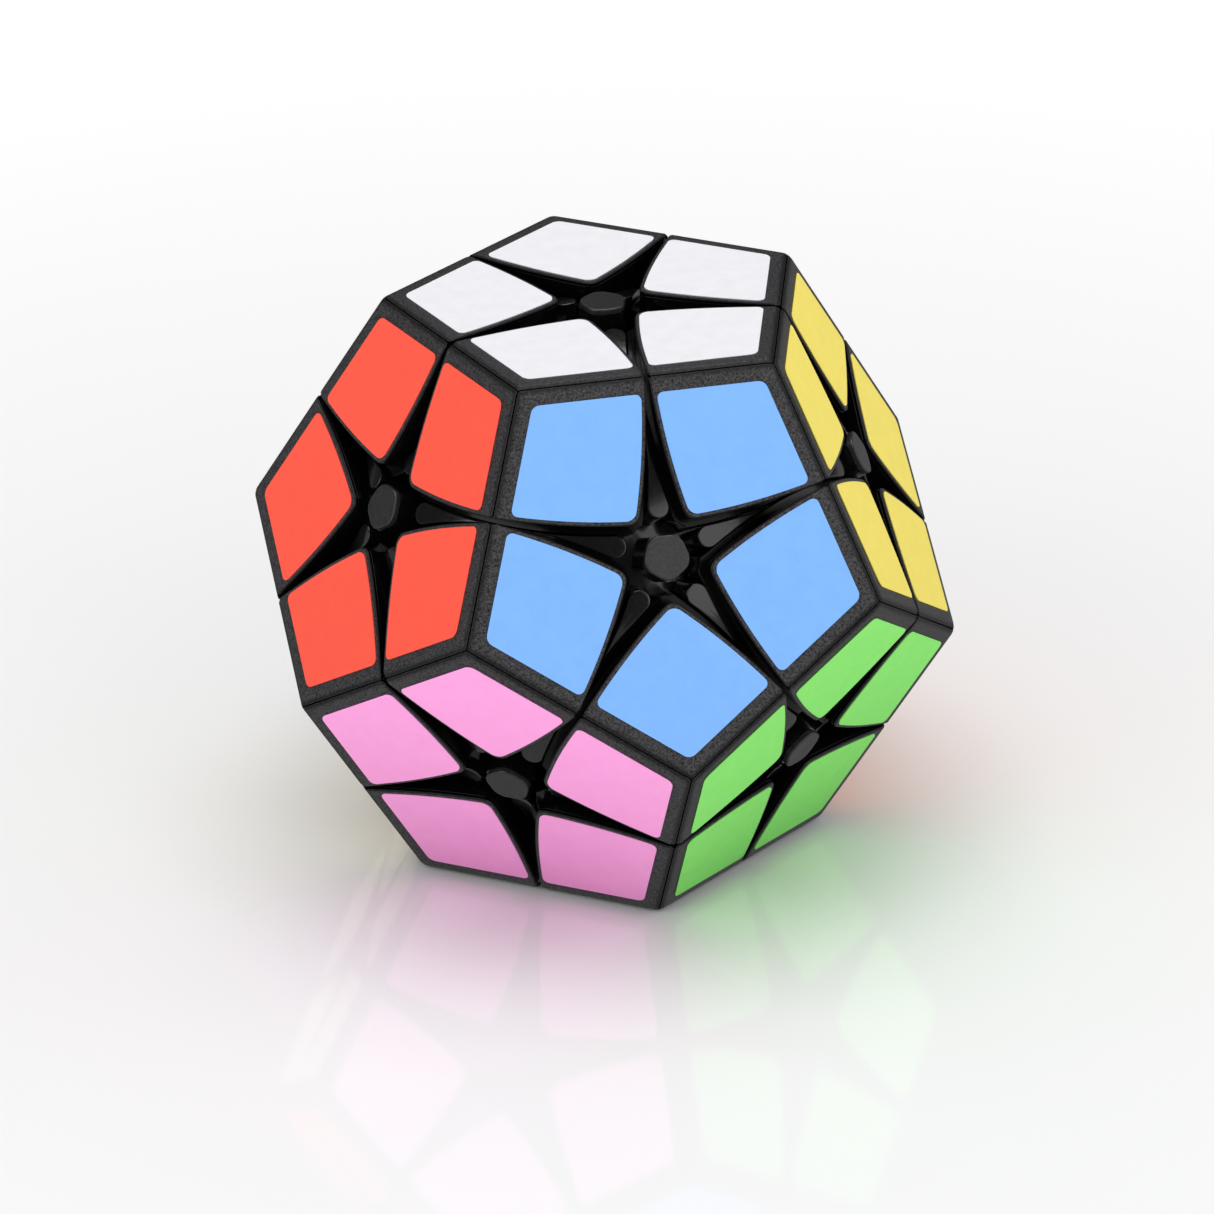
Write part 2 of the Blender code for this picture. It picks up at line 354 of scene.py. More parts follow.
def even_bearings(fan, outline, level, count, bend_share=0.55):
    """Bearings for a ring, closer together where the outline bends."""
    tried = Fan(fan.centre, fan.first, bearings_round(TRIAL_POINTS), fan.reach)
    ring = tried.ring(outline, level)
    step = np.roll(ring, -1, axis=0) - ring
    length = np.linalg.norm(step, axis=1)
    course = step / length[:, None]
    bend = np.arccos(np.clip((course * np.roll(course, 1, axis=0)).sum(axis=1), -1, 1))
    side = BEND_WINDOW // 2
    wrapped = np.r_[bend[-side:], bend, bend[:side]]
    bend = np.convolve(wrapped, np.ones(BEND_WINDOW) / BEND_WINDOW, "same")[side:-side]
    weight = (1 - bend_share) * length / length.sum() + bend_share * bend / bend.sum()
    total = np.r_[0, np.cumsum(weight)]
    bearings = np.r_[tried.bearings, 2 * math.pi]
    return np.interp((np.arange(count) + 0.5) / count, total, bearings)


class Skin:
    """Vertices, faces and face materials gathered from closed lofts."""

    def __init__(self):
        self.points = []
        self.faces = []
        self.materials = []

    def loft(self, rings, first, last, materials):
        """Rings from one end point to the other. Materials are one per band, ends included."""
        start = len(self.points)
        count = len(rings[0])
        self.points.extend([first, *np.concatenate(rings), last])
        end = len(self.points) - 1
        for band in range(len(rings) + 1):
            upper = start + 1 + (band - 1) * count
            lower = upper + count
            for side in range(count):
                other = (side + 1) % count
                if band == 0:
                    face = (start, lower + side, lower + other)
                elif band == len(rings):
                    face = (upper + side, end, upper + other)
                else:
                    face = (upper + side, lower + side, lower + other, upper + other)
                self.faces.append(face)
                self.materials.append(materials[band])

    def turned(self, turn):
        """A copy of everything so far, turned by a rotation matrix."""
        copy = Skin()
        copy.points = [turn @ point for point in self.points]
        copy.faces = list(self.faces)
        copy.materials = list(self.materials)
        return copy

    def add(self, other):
        start = len(self.points)
        self.points.extend(other.points)
        self.faces.extend(tuple(index + start for index in face) for face in other.faces)
        self.materials.extend(other.materials)

    def mesh(self, name, materials, sharp=math.radians(32)):
        mesh = bpy.data.meshes.new(name)
        mesh.from_pydata([tuple(point) for point in self.points], [], self.faces)
        for material in materials:
            mesh.materials.append(material)
        mesh.polygons.foreach_set("material_index", self.materials)
        shape = bmesh.new()
        shape.from_mesh(mesh)
        bmesh.ops.recalc_face_normals(shape, faces=shape.faces)
        shape.to_mesh(mesh)
        shape.free()
        mesh.shade_smooth()
        mesh.set_sharp_from_angle(angle=sharp)
        return mesh


def rim(radius, steps=RIM_STEPS):
    """Inset and depth along a rounded rim, from its top to its side."""
    angles = np.linspace(0, math.pi / 2, steps + 1)
    return [(radius * (1 - math.sin(a)), radius * (1 - math.cos(a))) for a in angles]


def dome(fan, outline, level, inset, shares):
    """Rings from near the centre of a top out to its rim."""
    return [fan.ring(outline, level, inset, share) for share in shares]


# --- the pieces' shapes --------------------------------------------------------------

REFERENCE = next(name for name in frame["nodes"] if name.startswith("corner_")).split("_")[1:]
A, B, C = REFERENCE
VERTEX = unit(AXES[A] + AXES[B] + AXES[C])


def neighbours(face):
    near = NEARLY * math.cos(FACE_ANGLE)
    return [other for other in AXES if other != face and AXES[other] @ AXES[face] > near]


def kite_outline(face, sides):
    """One face's shell: inside the two other faces' cones, this side of the two seams.

    Returns the rounded outline, the walls alone and the seams alone.
    """
    walls = [cone(side, BLOCK_CUT, BLOCK_APEX) for side in sides]
    seams = [plane(unit(AXES[side] - AXES[face])) for side in sides]
    tip = spread_at(*walls, kite_centre(face, TIP_SHARE) * INRADIUS)
    return (
        every(
            rounded(walls[0], walls[1], TIP_ROUND + SHELL_GAP, tip),
            rounded(walls[0], seams[1], NOTCH_ROUND, RIGHT_ANGLE),
            rounded(walls[1], seams[0], NOTCH_ROUND, RIGHT_ANGLE),
            rounded(seams[0], seams[1], SEAM_ROUND, FIFTH_TURN),
        ),
        every(*walls),
        every(*seams),
    )


def kite_centre(face, share):
    """A direction on the line from a face's centre to the reference vertex."""
    out = AXES[face]
    vertex = VERTEX * INRADIUS / (VERTEX @ out)
    return unit(out * INRADIUS + share * (vertex - out * INRADIUS))


def shell_skin(face, sides):
    """A thin shell with rounded rims: a wide gap along the walls, a fine one at the seams."""
    skin = Skin()
    outline, walls, seams = kite_outline(face, sides)
    fan = Fan(kite_centre(face, KITE_MIDDLE), VERTEX, np.zeros(1))
    top = puzzle_outside(REFERENCE, 0.0)
    fan.bearings = even_bearings(fan, outline, top, SHELL_POINTS)
    edge = fan.ring(outline, top, SEAM_GAP)
    lead = walls(edge) - seams(edge)
    at_wall = np.clip(0.5 + (lead + SHELL_GAP - SEAM_GAP) / GAP_CHANGE, 0, 1)
    gap = SEAM_GAP + at_wall * (SHELL_GAP - SEAM_GAP)
    radius = SEAM_RIM + at_wall * (SHELL_RIM - SEAM_RIM)
    rings = []
    materials = [0]
    for inset in SHELL_TOP_RINGS:
        rings.append(fan.ring(outline, top, gap + radius + inset))
        materials.append(0)
    for inset, depth in rim(1.0):
        level = puzzle_outside(REFERENCE, radius * depth)
        rings.append(fan.ring(outline, level, gap + radius * inset))
        materials.append(0)
    under = puzzle_outside(REFERENCE, SHELL_DEPTH - BLOCK_RIM)
    rings.append(fan.ring(outline, under, gap))
    materials[-1] = 1
    materials.append(1)
    under = puzzle_outside(REFERENCE, SHELL_DEPTH)
    rings.append(fan.ring(outline, under, gap + BLOCK_RIM))
    materials.append(1)
    skin.loft(rings, fan.point(top), fan.point(under), materials)
    return skin


def three_cones(cut, apex, radius):
    walls = [cone(face, cut, apex) for face in REFERENCE]
    spread = spread_at(walls[0], walls[1], kite_centre(C, TIP_SHARE) * INRADIUS)
    return every(
        rounded(walls[0], walls[1], radius, spread),
        rounded(walls[1], walls[2], radius, spread),
        rounded(walls[0], walls[2], radius, spread),
    )


def plug(skin, fan, outline, top, bottom, inset, material, rim_radius=0.0):
    """A closed loft between two spheres, for the parts below the shells."""
    rings = dome(fan, outline, sphere(top), inset + rim_radius, (0.35, 0.7))
    if rim_radius:
        for step, depth in rim(rim_radius):
            rings.append(fan.ring(outline, sphere(top - depth), inset + step))
    else:
        rings.append(fan.ring(outline, sphere(top), inset))
    rings.append(fan.ring(outline, sphere((top + bottom) / 2), inset))
    rings.append(fan.ring(outline, sphere(bottom), inset))
    rings.extend(dome(fan, outline, sphere(bottom), inset, (0.7, 0.35)))
    skin.loft(
        rings, fan.point(sphere(top)), fan.point(sphere(bottom)), [material] * (len(rings) + 1)
    )


def corner_skin():
    """A corner: three shells, the block under them, its skirt, neck and foot."""
    skin = Skin()
    shell = shell_skin(A, (B, C))
    for step in range(3):
        turn = Quaternion(Vector(VERTEX), math.radians(120) * step).to_matrix()
        skin.add(shell.turned(np.array(turn)))

    outline = three_cones(BLOCK_CUT, BLOCK_APEX, TIP_ROUND + SHELL_GAP)
    fan = Fan(VERTEX, AXES[A], np.zeros(1))
    top = puzzle_outside(REFERENCE, BLOCK_TOP)
    fan.bearings = even_bearings(fan, outline, top, BLOCK_POINTS)
    rings = []
    for inset, depth in rim(BLOCK_RIM, FINE_RIM_STEPS):
        level = puzzle_outside(REFERENCE, BLOCK_TOP + depth)
        rings.append(fan.ring(outline, level, SHELL_GAP + inset))
    edge = rings[-1]
    reach = np.linalg.norm(edge, axis=1)
    floor = OUTER_FLOOR + CLEARANCE
    for share in (0.25, 0.5, 0.75, 1.0):
        rings.append(fan.ring(outline, sphere(reach + (floor - reach) * share), SHELL_GAP))
    rings.extend(dome(fan, outline, sphere(floor), SHELL_GAP, (0.66, 0.33)))
    skin.loft(rings, fan.point(top), fan.point(sphere(floor)), [1] * (len(rings) + 1))

    skirt = every(
        three_cones(OUTER_CUT, 0.0, NOTCH_ROUND),
        *(outside(cylinder(face, SKIRT_HOLE)) for face in REFERENCE),
    )
    fan = Fan(VERTEX, AXES[A], np.zeros(1))
    fan.bearings = even_bearings(fan, skirt, sphere(SKIRT_TOP), BLOCK_POINTS)
    plug(skin, fan, skirt, SKIRT_TOP, floor, PAD_GAP, 1, SKIRT_RIM)

    fan = Fan(VERTEX, AXES[A], bearings_round(HIDDEN_POINTS))
    neck = three_cones(MIDDLE_CUT, 0.0, NOTCH_ROUND)
    foot = three_cones(INNER_CUT, 0.0, NOTCH_ROUND)
    plug(skin, fan, neck, OUTER_FLOOR + JOIN, MIDDLE_FLOOR - JOIN, CLEARANCE, 1)
    plug(skin, fan, foot, MIDDLE_FLOOR - CLEARANCE, INNER_FLOOR + CLEARANCE, CLEARANCE, 1)
    return skin


def tilted(face, towards, tilt):
    """A face's axis, tilted towards a direction."""
    across = unit(towards - (towards @ AXES[face]) * AXES[face])
    return math.cos(tilt) * AXES[face] + math.sin(tilt) * across


def edge_skin(faces, ends):
    """An edge: a pad and its web for each face, a body and toes."""
    first, second = faces
    skin = Skin()
    sides = [outside(cone(end, OUTER_CUT)) for end in ends]
    reach = cone(second, PAD_REACH)
    middle = unit(AXES[first] + AXES[second])
    wide_end = PAD_TOP * tilted(first, middle, FACE_ANGLE - PAD_REACH)
    spread = spread_at(reach, sides[0], wide_end)
    pad = every(
        rounded(reach, sides[0], PAD_ROUND, spread),
        rounded(reach, sides[1], PAD_ROUND, spread),
        rounded(sides[0], sides[1], PAD_POINT_ROUND, PAD_POINT_SPREAD),
    )
    fan = Fan(tilted(first, middle, PAD_TILT), middle, np.zeros(1), PAD_FAN)
    fan.bearings = even_bearings(fan, pad, sphere(PAD_TOP), PAD_POINTS, bend_share=0.35)
    rings = dome(fan, pad, sphere(PAD_TOP), PAD_GAP + PAD_RIM, (0.2, 0.4, 0.6, 0.8))
    for step, depth in rim(PAD_RIM):
        rings.append(fan.ring(pad, sphere(PAD_TOP - depth), PAD_GAP + step))
    floor = OUTER_FLOOR + CLEARANCE
    for radius in (0.5 * (PAD_TOP + floor), floor):
        rings.append(fan.ring(pad, sphere(radius), PAD_GAP))
    rings.extend(dome(fan, pad, sphere(floor), PAD_GAP, (0.75, 0.5, 0.25)))
    skin.loft(rings, fan.point(sphere(PAD_TOP)), fan.point(sphere(floor)), [0] * (len(rings) + 1))

    web = every(cone(second, MIDDLE_CUT), *sides)
    fan = Fan(tilted(first, middle, WEB_TILT), middle, bearings_round(WEB_POINTS), WEB_FAN)
    plug(skin, fan, web, OUTER_FLOOR + JOIN, OUTER_FLOOR - JOIN, CLEARANCE, 0)
    turn = Quaternion(Vector(middle), math.pi).to_matrix()
    skin.add(skin.turned(np.array(turn)))

    fan = Fan(middle, AXES[first], bearings_round(HIDDEN_POINTS))
    wide = [cone(face, MIDDLE_CUT) for face in faces]
    body = every(*wide, *(outside(cone(end, MIDDLE_CUT)) for end in ends))
    link = every(*wide, *(outside(cone(end, INNER_CUT)) for end in ends))
    toes = every(
        *(cone(face, INNER_CUT) for face in faces),
        *(outside(cone(end, INNER_CUT)) for end in ends),
    )
    plug(skin, fan, body, OUTER_FLOOR - CLEARANCE, MIDDLE_FLOOR + CLEARANCE, CLEARANCE, 0)
    plug(skin, fan, link, MIDDLE_FLOOR + JOIN, MIDDLE_FLOOR - JOIN, CLEARANCE, 0)
    plug(skin, fan, toes, MIDDLE_FLOOR - CLEARANCE, INNER_FLOOR + CLEARANCE, CLEARANCE, 0)
    return skin


def centre_skin(face):
    """A centre as one closed loft: cap, stem, disc, shaft, bore and spring pocket."""
    skin = Skin()
    around = neighbours(face)
    axis = AXES[face]
    faced = []
    for near in around:
        across = AXES[near] - (AXES[near] @ axis) * axis
        faced.append(plane(unit(across), CAP_APOTHEM))
    first = unit(AXES[around[0]] - (AXES[around[0]] @ axis) * axis)
    turns = [
        math.atan2(np.cross(first, AXES[near]) @ axis, first @ AXES[near]) % (2 * math.pi)
        for near in around
    ]
    ranked = [outline for _, outline in sorted(zip(turns, faced), key=lambda pair: pair[0])]
    cap, post = (
        every(*(rounded(*pair, radius, FIFTH_TURN) for pair in zip(ranked, ranked[1:] + ranked[:1])))
        for radius in (CAP_ROUND, POST_ROUND)
    )
    disc = every(
        cone(face, CENTRE_REACH), *(outside(cone(near, MIDDLE_CUT)) for near in around)
    )
    shaft = every(
        cone(face, CENTRE_REACH), *(outside(cone(near, INNER_CUT)) for near in around)
    )
    fan = Fan(axis, AXES[around[0]], bearings_round(CENTRE_POINTS))
    rings = [fan.ring(cap, flat(face, INRADIUS), 1.5 * CAP_RIM)]
    materials = [0, 0]
    for step, depth in rim(CAP_RIM):
        rings.append(fan.ring(cap, flat(face, INRADIUS - depth), step))
        materials.append(0)
    foot = INRADIUS - CAP_HEIGHT
    profile = (
        (cap, foot, 0.0, 0),
        (cap, foot - GROOVE_TOP, CAP_GROOVE, 0),
        (cap, foot - GROOVE_BOTTOM, CAP_GROOVE, 1),
        (post, foot - POST_TOP, POST_INSET, 1),
        (post, 0.5 * (foot + OUTER_FLOOR), POST_INSET, 1),
    )
    for outline, height, inset, material in profile:
        rings.append(fan.ring(outline, flat(face, height), inset))
        materials.append(material)
    top = sphere(OUTER_FLOOR - CLEARANCE)
    inner = fan.tilts(post, top, POST_INSET)
    outer = fan.tilts(disc, top, CLEARANCE)
    for share in (0.0, 0.33, 0.66, 1.0):
        directions = fan.directions(inner + (outer - inner) * share)
        rings.append(directions * top(directions)[:, None])
        materials.append(1)
    floor = sphere(MIDDLE_FLOOR + CLEARANCE)
    rings.append(fan.ring(disc, floor, CLEARANCE))
    rings.append(fan.ring(shaft, floor, CLEARANCE))
    rings.append(fan.ring(shaft, sphere(INNER_FLOOR + CLEARANCE), CLEARANCE))
    bore = cylinder(face, BORE_RADIUS)
    pocket = cylinder(face, POCKET_RADIUS)
    rings.append(fan.ring(bore, sphere(INNER_FLOOR + CLEARANCE)))
    rings.append(fan.ring(bore, flat(face, POCKET_FLOOR)))
    rings.append(fan.ring(pocket, flat(face, POCKET_FLOOR)))
    rings.append(fan.ring(pocket, flat(face, POCKET_ROOF)))
    materials.extend([1] * 7)
    skin.loft(rings, axis * INRADIUS, axis * POCKET_ROOF, materials)
    return skin


def sticker_skin(face, sides):
    """A kite-shaped sheet, with its margins to the seams measured along the face."""
    walls = [
        moved(cone(side, BLOCK_CUT, BLOCK_APEX), SHELL_GAP + STICKER_WALL_MARGIN) for side in sides
    ]
    seam_lean = math.cos(FACE_ANGLE / 2)
    seams = [
        moved(plane(unit(AXES[side] - AXES[face]) / seam_lean), STICKER_SEAM_MARGIN)
        for side in sides
    ]
    tip = spread_at(*walls, kite_centre(face, TIP_SHARE) * INRADIUS)
    outline = every(
        rounded(walls[0], walls[1], STICKER_TIP_ROUND, tip),
        rounded(walls[0], seams[1], STICKER_SIDE_ROUND, RIGHT_ANGLE),
        rounded(walls[1], seams[0], STICKER_SIDE_ROUND, RIGHT_ANGLE),
        rounded(seams[0], seams[1], STICKER_OUTER_ROUND, FIFTH_TURN),
    )
    fan = Fan(kite_centre(face, KITE_MIDDLE), VERTEX, np.zeros(1))
    top = flat(face, INRADIUS + STICKER_THICKNESS)
    fan.bearings = even_bearings(fan, outline, top, STICKER_POINTS)
    bottom = flat(face, INRADIUS + STICKER_LIFT)
    rings = [fan.ring(outline, top, 4 * STICKER_RIM)]
    for step, depth in rim(STICKER_RIM, FINE_RIM_STEPS):
        rings.append(fan.ring(outline, flat(face, INRADIUS + STICKER_THICKNESS - depth), step))
    rings.append(fan.ring(outline, bottom))
    skin = Skin()
    skin.loft(rings, fan.point(top), fan.point(bottom), [0] * (len(rings) + 1))
    return skin


# --- materials -----------------------------------------------------------------------


class Surface:
    """A Principled material whose colour, roughness and bump come from fine noise."""

    def __init__(self, name, colour, roughness, coat=0.0, specular=0.5):
        self.material = bpy.data.materials.new(name)
        self.material.use_nodes = True
        self.tree = self.material.node_tree
        self.shader = self.tree.nodes["Principled BSDF"]
        self.shader.inputs["Coat Weight"].default_value = coat
        self.shader.inputs["Coat Roughness"].default_value = 0.08
        self.shader.inputs["Specular IOR Level"].default_value = specular
        self.where = self.tree.nodes.new("ShaderNodeTexCoord").outputs["Object"]
        self.colour = colour
        self.roughness = roughness
        self.normal = None

    def noise(self, size, detail=4.0, roughness=0.55):
        """Noise whose blotches are about size metres across."""
        node = self.tree.nodes.new("ShaderNodeTexNoise")
        node.inputs["Scale"].default_value = 1 / size
        node.inputs["Detail"].default_value = detail
        node.inputs["Roughness"].default_value = roughness
        self.tree.links.new(self.where, node.inputs["Vector"])
        return node.outputs["Fac"]

    def spread(self, value, low, high, cut_low=0.3, cut_high=0.7):
        node = self.tree.nodes.new("ShaderNodeMapRange")
        node.inputs["From Min"].default_value = cut_low
        node.inputs["From Max"].default_value = cut_high
        node.inputs["To Min"].default_value = low
        node.inputs["To Max"].default_value = high
        self.tree.links.new(value, node.inputs["Value"])
        return node.outputs["Result"]

    def shade_colour(self, value, darker, lighter):
        """The colour, from darker to lighter as the value goes from 0 to 1."""
        ramp = self.tree.nodes.new("ShaderNodeValToRGB")
        ramp.color_ramp.elements[0].color = (*[c * darker for c in self.colour], 1)
        ramp.color_ramp.elements[1].color = (*[min(1, c * lighter) for c in self.colour], 1)
        self.tree.links.new(value, ramp.inputs["Fac"])
        self.tree.links.new(ramp.outputs["Color"], self.shader.inputs["Base Color"])

    def combine(self, operation, first, second):
        node = self.tree.nodes.new("ShaderNodeMath")
        node.operation = operation
        self.tree.links.new(first, node.inputs[0])
        self.tree.links.new(second, node.inputs[1])
        return node.outputs["Value"]

    def shade_roughness(self, value):
        self.tree.links.new(value, self.shader.inputs["Roughness"])

    def bump(self, value, height):
        """Adds a bump whose relief is height metres."""
        node = self.tree.nodes.new("ShaderNodeBump")
        node.inputs["Strength"].default_value = 1.0
        node.inputs["Distance"].default_value = height
        self.tree.links.new(value, node.inputs["Height"])
        if self.normal is not None:
            self.tree.links.new(self.normal, node.inputs["Normal"])
        self.normal = node.outputs["Normal"]
        self.tree.links.new(self.normal, self.shader.inputs["Normal"])


def matte_plastic(name, colour, roughness, grain, specular=0.5):
    """Plastic with a spark-eroded grain."""
    surface = Surface(name, colour, roughness, specular=specular)
    fine = surface.noise(0.28 * MM, 3.0, 0.6)
    cloud = surface.noise(6 * MM)
    surface.shade_colour(surface.spread(fine, 0, 1), 0.55, 1.9)
    surface.shade_roughness(surface.spread(cloud, roughness - 0.04, roughness + 0.05))
    surface.bump(fine, grain)
    return surface.material


def shell_plastic(name, colour, roughness, grain):
    """Grained black plastic with painted shade and painted sheen. Its colour is painted darker where the puzzle's
    edges are rounded, in place of the dark room those edges reflect, and lighter on the flats, in place of the
    softboxes' sheen. Its specular level follows the same mask.
    """
    surface = Surface(name, colour, roughness)
    fine = surface.noise(0.28 * MM, 3.0, 0.6)
    normal = surface.tree.nodes.new("ShaderNodeTexCoord").outputs["Normal"]
    flatness = None
    for axis in [axis for axis in AXES.values() if axis[2] > 0]:
        lean = surface.tree.nodes.new("ShaderNodeVectorMath")
        lean.operation = "DOT_PRODUCT"
        lean.inputs[1].default_value = axis
        surface.tree.links.new(normal, lean.inputs[0])
        either_way = surface.tree.nodes.new("ShaderNodeMath")
        either_way.operation = "ABSOLUTE"
        surface.tree.links.new(lean.outputs["Value"], either_way.inputs[0])
        if flatness is None:
            flatness = either_way.outputs["Value"]
        else:
            flatness = surface.combine("MAXIMUM", flatness, either_way.outputs["Value"])
    # Painted light: this mask paints the flats lighter (painted sheen) and the rounded edges darker (painted
    # shade), in colour and in specular level.
    lit = surface.spread(flatness, 0.2, 1, 0.93, 0.998)
    grain_and_painted_sheen = surface.combine("MULTIPLY", surface.spread(fine, 0, 1), lit)
    surface.shade_colour(grain_and_painted_sheen, 0.3, 2.6)
    surface.shade_roughness(surface.spread(fine, roughness - 0.05, roughness + 0.08))
    surface.tree.links.new(
        surface.spread(grain_and_painted_sheen, 0.2, 1, 0, 0.8), surface.shader.inputs["Specular IOR Level"]
    )
    surface.bump(fine, grain)
    return surface.material


def gloss_plastic(name, colour, roughness, specular, coat=0.0):
    """Moulded glossy plastic with faint waves and haze."""
    surface = Surface(name, colour, roughness, coat, specular)
    wave = surface.noise(1.6 * MM, 2.0)
    haze = surface.noise(0.5 * MM)
    surface.shade_colour(surface.spread(haze, 0, 1), 0.8, 1.3)
    surface.shade_roughness(surface.spread(haze, roughness - 0.04, roughness + 0.06))
    surface.bump(wave, 0.010 * MM)
    return surface.material


def vinyl(name, colour):
    """Satin sticker sheet: even colour, slight orange peel, faint fibres."""
    surface = Surface(name, colour, 0.34, specular=0.22)
    peel = surface.noise(0.45 * MM, 3.0)
    fibre = surface.noise(2.5 * MM, 6.0, 0.65)
    surface.shade_colour(surface.spread(fibre, 0, 1), 0.965, 1.03)
    surface.shade_roughness(surface.spread(peel, 0.30, 0.42))
    surface.bump(peel, 0.004 * MM)
    return surface.material


SHELL = shell_plastic("shell_matte_black", (0.024, 0.023, 0.025), 0.38, 0.09 * MM)
WALL = gloss_plastic("wall_gloss_black", (0.002, 0.002, 0.0025), 0.14, 0.3)
PAD = gloss_plastic("pad_gloss_black", (0.005, 0.005, 0.0055), 0.18, 1.0, 0.7)
CAP = matte_plastic("cap_matte_black", (0.018, 0.017, 0.018), 0.36, 0.018 * MM, 1.0)
STEM = gloss_plastic("stem_gloss_black", (0.004, 0.004, 0.004), 0.18, 1.0, 0.7)
CORE = matte_plastic("core_matte_grey", (0.12, 0.12, 0.125), 0.50, 0.020 * MM)
VINYL = {face: vinyl(f"vinyl_{face}", colour) for face, colour in STICKER_COLOURS.items()}


# --- assembly ------------------------------------------------------------------------


def columns(faces):
    return np.array([AXES[face] for face in faces]).T


def turn_between(from_faces, to_faces):
    turn = columns(to_faces) @ np.linalg.inv(columns(from_faces))
    return Matrix(turn.tolist()).to_quaternion().to_matrix().to_4x4()


def piece(name, mesh, turn, body):
    """A turned copy of a mesh, with its place in its vertices, riding on a body."""
    own = mesh.copy()
    own.name = name
    own.transform(turn)
    thing = bpy.data.objects.new(name, own)
    bpy.context.scene.collection.objects.link(thing)
    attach(thing, body)
    return thing


def corner_pieces():
    block = corner_skin().mesh("corner_block", [SHELL, WALL])
    sheet = sticker_skin(A, (B, C)).mesh("sticker", [VINYL[A]])
    for node in [name for name in frame["nodes"] if name.startswith("corner_")]:
        faces = node.split("_")[1:]
        label = "_".join(faces)
        thing = piece(f"block_{label}", block, turn_between(REFERENCE, faces), node)
        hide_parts(node)
        for step in range(3):
            ordered = faces[step:] + faces[:step]
            turn = turn_between(REFERENCE, ordered)
            name = f"sticker_{ordered[0]}_on_{label}"
            sticker = piece(name, sheet, turn, node)
            sticker.data.materials[0] = VINYL[ordered[0]]


def edge_frame(faces):
    """An edge's two faces and the end face on the left of the way from the first to the second."""
    ends = [face for face in neighbours(faces[0]) if face in neighbours(faces[1])]
    ends.sort(key=lambda end: np.cross(AXES[faces[0]], AXES[faces[1]]) @ AXES[end], reverse=True)
    return (*faces, *ends)


def edge_pieces():
    nodes = [name for name in frame["nodes"] if name.startswith("edge_")]
    first = edge_frame(nodes[0].split("_")[1:])
    mesh = edge_skin(first[:2], first[2:]).mesh("edge", [PAD])
    for node in nodes:
        faces = edge_frame(node.split("_")[1:])
        name = "pads_" + "_".join(faces[:2])
        thing = piece(name, mesh, turn_between(first[:3], faces[:3]), node)
        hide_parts(node)


def centre_pieces():
    first = edge_frame([A, neighbours(A)[0]])
    mesh = centre_skin(A).mesh("centre", [CAP, STEM])
    for face in AXES:
        ends = edge_frame([face, neighbours(face)[0]])
        thing = piece(
            f"cap_and_stem_{face}", mesh, turn_between(first[:3], ends[:3]),
            f"centre_{face}",
        )
        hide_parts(f"centre_{face}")


corner_pieces()
edge_pieces()
centre_pieces()
for index in range(len(frame["nodes"]["core"].data.materials)):
    frame["nodes"]["core"].data.materials[index] = CORE


# --- floor, light and camera ---------------------------------------------------------


def floor():
    bpy.ops.mesh.primitive_plane_add(size=6, location=(0, 0, FLOOR_HEIGHT - 0.1 * MM))
    ground = bpy.context.object
    ground.name = "floor"
    surface = Surface("pale_floor", (0.96, 0.96, 0.965), 0.2, specular=0.5)
    haze = surface.noise(40 * MM)
    surface.shade_colour(surface.spread(haze, 0, 1), 0.995, 1.005)
    surface.shade_roughness(surface.spread(haze, 0.05, 0.07))
    tree = surface.tree
    away = tree.nodes.new("ShaderNodeVectorMath")
    away.operation = "LENGTH"
    tree.links.new(surface.where, away.inputs[0])
    fade = surface.spread(away.outputs["Value"], 0, 1, *FLOOR_FADE)
    white = tree.nodes.new("ShaderNodeEmission")
    path = tree.nodes.new("ShaderNodeLightPath")
    bounce = surface.spread(path.outputs["Is Diffuse Ray"], 1, FLOOR_BOUNCE, 0, 1)
    tree.links.new(bounce, white.inputs["Strength"])
    mix = tree.nodes.new("ShaderNodeMixShader")
    tree.links.new(fade, mix.inputs["Fac"])
    tree.links.new(surface.shader.outputs["BSDF"], mix.inputs[1])
    tree.links.new(white.outputs["Emission"], mix.inputs[2])
    dim = tree.nodes.new("ShaderNodeEmission")
    dim.inputs["Strength"].default_value = FLOOR_REFLECTION
    choice = tree.nodes.new("ShaderNodeMixShader")
    tree.links.new(path.outputs["Is Glossy Ray"], choice.inputs["Fac"])
    tree.links.new(mix.outputs["Shader"], choice.inputs[1])
    tree.links.new(dim.outputs["Emission"], choice.inputs[2])
    tree.links.new(choice.outputs["Shader"], tree.nodes["Material Output"].inputs["Surface"])
    ground.data.materials.append(surface.material)


def softbox(name, location, size, power, tint=(1, 1, 1)):
    light = bpy.data.lights.new(name, "AREA")
    light.shape = "RECTANGLE"
    light.size = size[0]
    light.size_y = size[1]
    light.energy = power
    light.color = tint
    thing = bpy.data.objects.new(name, light)
    bpy.context.scene.collection.objects.link(thing)
    thing.location = location
    thing.rotation_euler = (-Vector(location)).to_track_quat("-Z", "Y").to_euler()


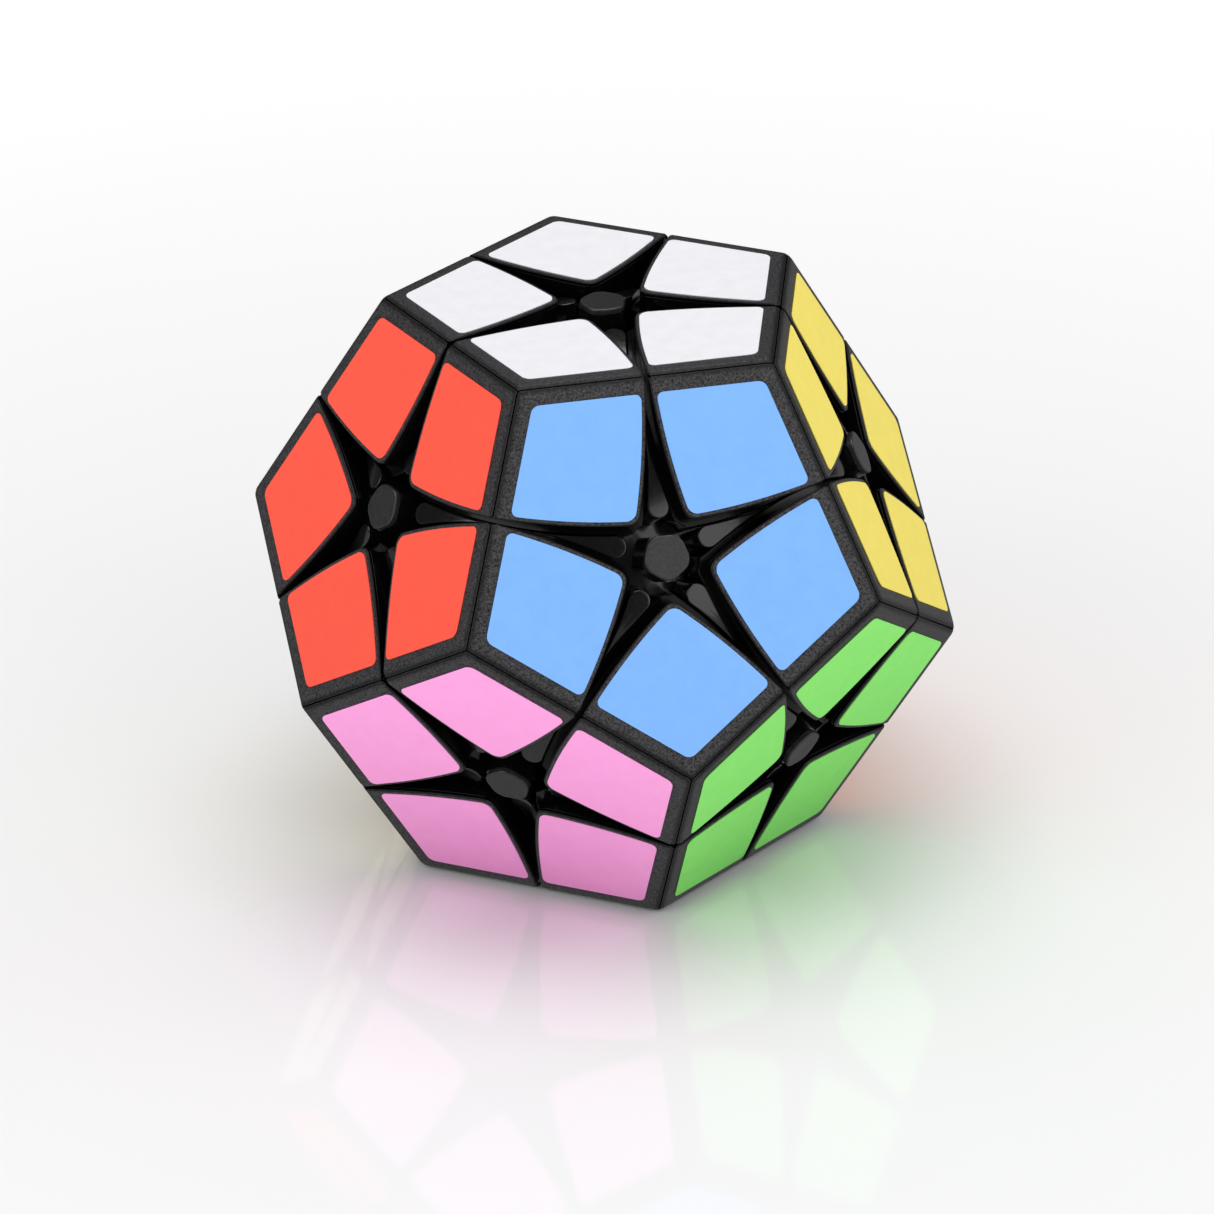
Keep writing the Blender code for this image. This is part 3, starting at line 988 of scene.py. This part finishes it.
def studio():
    """A white room that the camera sees as pure white, with softer light from four softboxes."""
    world = bpy.data.worlds.new("studio")
    world.use_nodes = True
    tree = world.node_tree
    seen = tree.nodes["Background"]
    seen.inputs["Color"].default_value = (1, 1, 1, 1)
    seen.inputs["Strength"].default_value = 1.0
    path = tree.nodes.new("ShaderNodeLightPath")
    shown = seen.outputs["Background"]
    for ray, strength in (("Is Diffuse Ray", ROOM_LIGHT), ("Is Glossy Ray", ROOM_REFLECTION)):
        dimmed = tree.nodes.new("ShaderNodeBackground")
        dimmed.inputs["Strength"].default_value = strength
        dimmed.inputs["Color"].default_value = (1, 1, 1, 1)
        mix = tree.nodes.new("ShaderNodeMixShader")
        tree.links.new(path.outputs[ray], mix.inputs["Fac"])
        tree.links.new(shown, mix.inputs[1])
        tree.links.new(dimmed.outputs["Background"], mix.inputs[2])
        shown = mix.outputs["Shader"]
    tree.links.new(shown, tree.nodes["World Output"].inputs["Surface"])
    bpy.context.scene.world = world
    softbox("top_softbox", (0.0, 0.1, 0.75), (0.7, 0.7), 2.75)
    softbox("left_softbox", (-0.7, -0.35, 0.35), (0.5, 0.7), 1.5)
    softbox("front_softbox", (0.50, -0.86, 0.40), (0.8, 1.0), 1.7)
    softbox("right_softbox", (0.8, 0.0, 0.35), (0.4, 0.7), 0.9)
    bpy.context.scene.view_settings.view_transform = "Standard"


def camera():
    azimuth = math.radians(-13.604)
    elevation = math.radians(27.030)
    roll = math.radians(-0.438)
    distance = 26.730 * INRADIUS
    back = Vector(
        (
            math.sin(azimuth) * math.cos(elevation),
            -math.cos(azimuth) * math.cos(elevation),
            math.sin(elevation),
        )
    )
    right = (-back).cross(Vector((0, 0, 1))).normalized()
    up = right.cross(-back)
    across = math.cos(roll) * right + math.sin(roll) * up
    upward = -math.sin(roll) * right + math.cos(roll) * up
    lens = bpy.data.cameras.new("camera")
    lens.sensor_width = 36
    lens.lens = 226.56
    lens.clip_end = 20
    eye = bpy.data.objects.new("camera", lens)
    bpy.context.scene.collection.objects.link(eye)
    place = back * distance + 0.00742 * INRADIUS * across - 0.16330 * INRADIUS * upward
    basis = Matrix((across, upward, back)).transposed().to_4x4()
    eye.matrix_world = Matrix.Translation(place) @ basis
    bpy.context.scene.camera = eye


floor()
studio()
camera()
